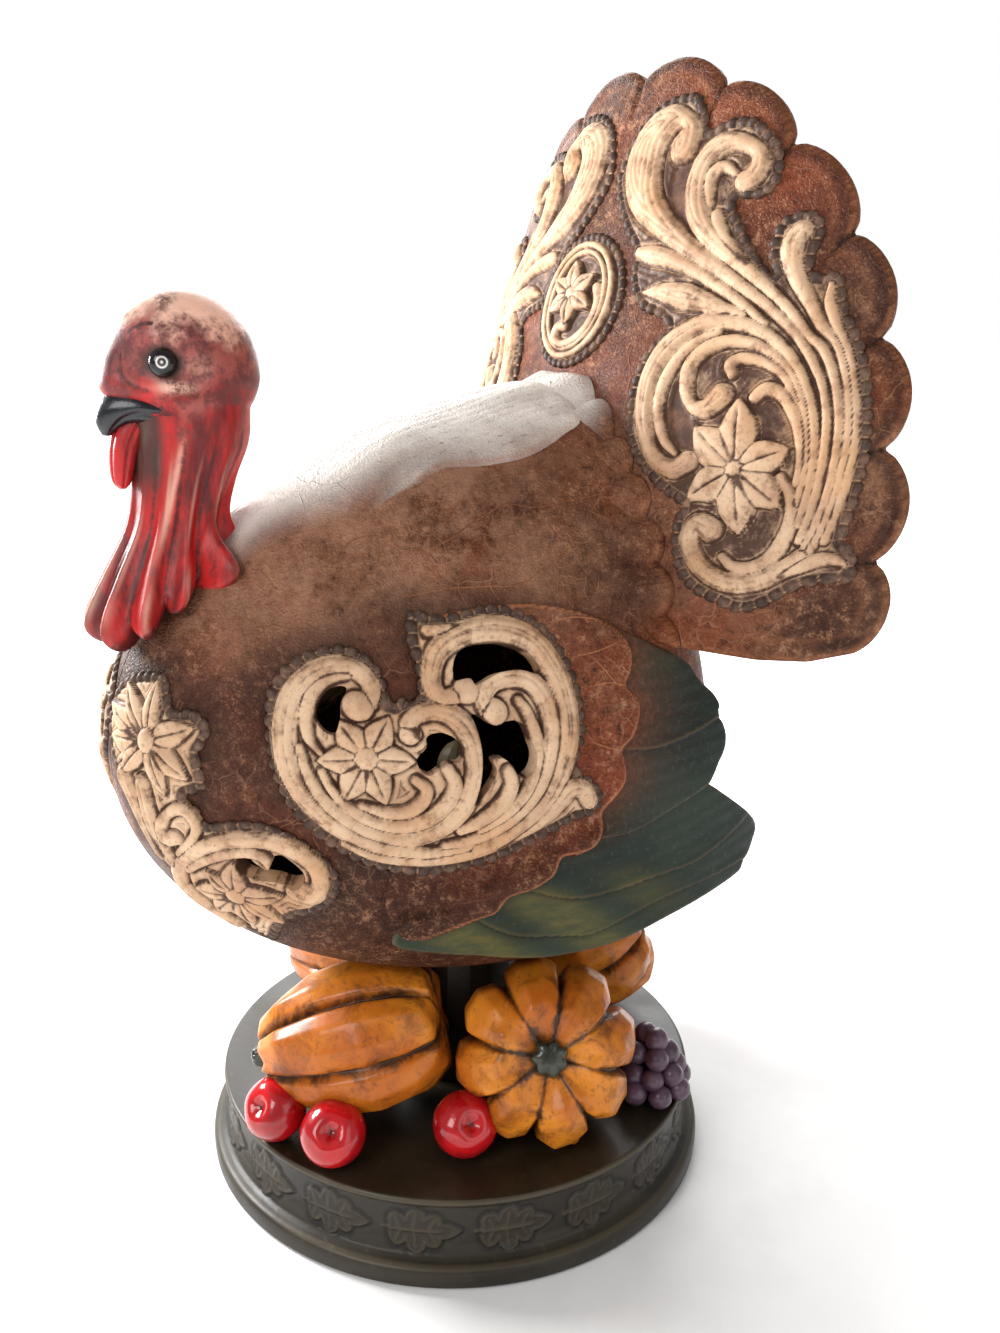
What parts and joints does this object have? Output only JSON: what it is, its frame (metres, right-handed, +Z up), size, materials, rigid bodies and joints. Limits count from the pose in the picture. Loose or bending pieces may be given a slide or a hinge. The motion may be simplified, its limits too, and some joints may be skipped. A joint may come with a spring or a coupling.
{
  "type": "thanksgiving turkey figure",
  "caption": "Table-top turkey figure with a fan tail and pierced scrollwork panels, lit from inside, standing on a round plinth with pumpkins, gourds, apples and grapes.",
  "frame": {"origin": "centre of the flat underside of the round plinth, where the figure stands", "axes": "+Z up, -Y the way the bird looks, +X the bird's left side"},
  "size_m": [0.282, 0.2446, 0.4266],
  "materials": {
    "leather": "cast resin painted as worn brown leather, satin",
    "cream": "cast resin painted cream with a dark wash in the recesses",
    "feather": "cast resin painted dark green with olive tips, satin",
    "red": "cast resin painted red with dark streaks, semi gloss",
    "flesh": "cast resin painted flesh pink with a brown wash",
    "black": "black paint, glossy",
    "orange": "cast resin painted orange with a brown wash, semi gloss",
    "stem": "cast resin painted dark green",
    "apple": "cast resin painted red, glossy",
    "grape": "cast resin painted dark purple",
    "plinth": "cast resin painted dark bronze with worn edges",
    "plastic": "moulded black plastic",
    "cell": "plain wrapped steel can",
    "steel": "plated steel",
    "lamp": "warm white diffuser",
    "lead": "sheathed two core lead"
  },
  "bodies": {
    "figure": {"body_shell_left": "leather", "body_shell_right": "leather", "wing_covert_left": "leather", "wing_covert_right": "leather", "saddle_feathers": "leather", "tail_fan": "leather", "side_panel_left": "cream", "side_panel_right": "cream", "breast_panel_left": "cream", "breast_panel_right": "cream", "fan_panel_left": "cream", "fan_panel_right": "cream", "fan_medallion": "cream", "wing_flight_upper_left": "feather", "wing_flight_upper_right": "feather", "wing_flight_lower_left": "feather", "wing_flight_lower_right": "feather", "neck_wattles": "red", "snood": "red", "head": "flesh", "beak": "black", "eye_left": "black", "eye_right": "black", "pumpkin_front": "orange", "pumpkin_rear": "orange", "pumpkin_far": "orange", "gourd_near": "orange", "gourd_far": "orange", "pumpkin_front_stem": "stem", "pumpkin_rear_stem": "stem", "pumpkin_far_stem": "stem", "gourd_near_stem": "stem", "gourd_far_stem": "stem", "apple_near_1": "apple", "apple_near_2": "apple", "apple_near_3": "apple", "apple_far": "apple", "grapes_near": "grape", "grapes_far": "grape", "base_plinth": "plinth", "pedestal": "plinth", "base_plate": "plastic", "battery_tray": "plastic", "switch_body": "plastic", "lamp_post": "plastic", "battery_cell_1": "cell", "battery_cell_2": "cell", "battery_cell_3": "cell", "plate_screw_1": "steel", "plate_screw_2": "steel", "plate_screw_3": "steel", "plate_screw_4": "steel", "battery_contact_left": "steel", "battery_contact_right": "steel", "lamp_led": "lamp", "lamp_lead": "lead"},
    "cover": {"battery_cover": "plastic"},
    "slider": {"switch_slider": "plastic"}
  },
  "joints": [
    {"name": "cover_hinge", "type": "hinge", "parent": "figure", "child": "cover", "pos_m": [0, 0.0717, 0.0015], "axis": [1, 0, 0], "range_deg": [0, 100]},
    {"name": "switch_slide", "type": "slide", "parent": "figure", "child": "slider", "axis": [1, 0, 0], "range_m": [0, 0.004]}
  ]
}
